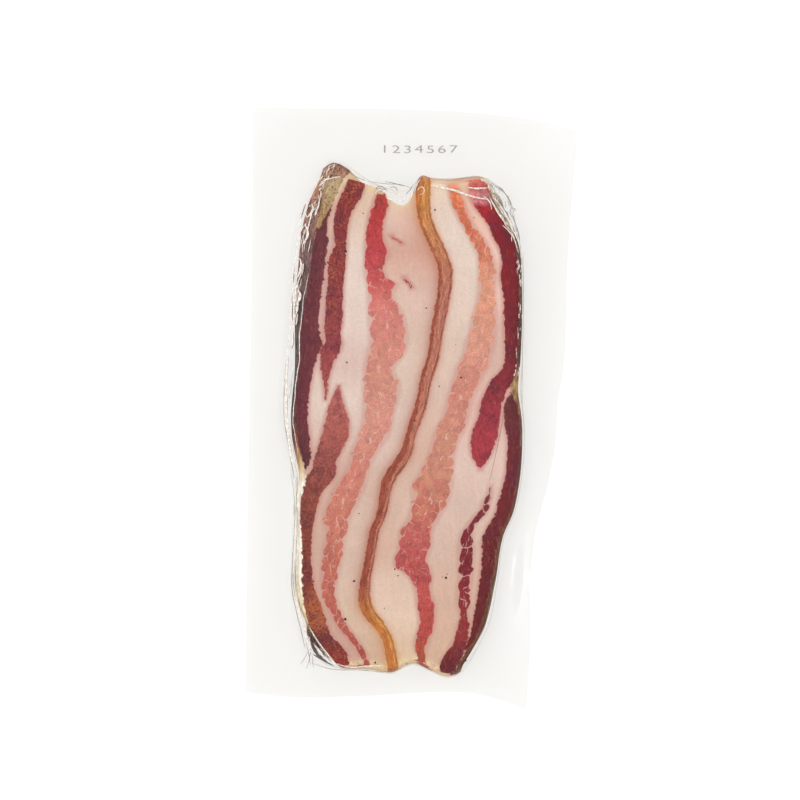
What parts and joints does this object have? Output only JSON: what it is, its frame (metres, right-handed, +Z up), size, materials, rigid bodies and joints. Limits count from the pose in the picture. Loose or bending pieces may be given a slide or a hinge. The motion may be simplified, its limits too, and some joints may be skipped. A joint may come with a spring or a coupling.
{
  "type": "bacon pack",
  "caption": "Flat clear vacuum pouch of sliced streaky bacon: two piles of long slices, rind to rind, inside a thin wavy sealed film border.",
  "frame": {"origin": "on the floor under the middle of the pouch, at the bottom centre of its bounding box", "axes": "+Z up out of the shown side, +Y along the pouch towards the end with the wide border and the printed number, +X to the right"},
  "size_m": [0.153, 0.277, 0.0109],
  "materials": {
    "film": "clear gloss film drawn tight over pink and red bacon",
    "bacon_fat": "moist pale pink pork fat",
    "bacon_lean": "moist cured lean meat, plum to salmon",
    "rind": "amber brown pork rind",
    "ink": "thin grey stamped ink"
  },
  "bodies": {
    "root": {"vacuum_pouch": "film"}
  },
  "joints": []
}
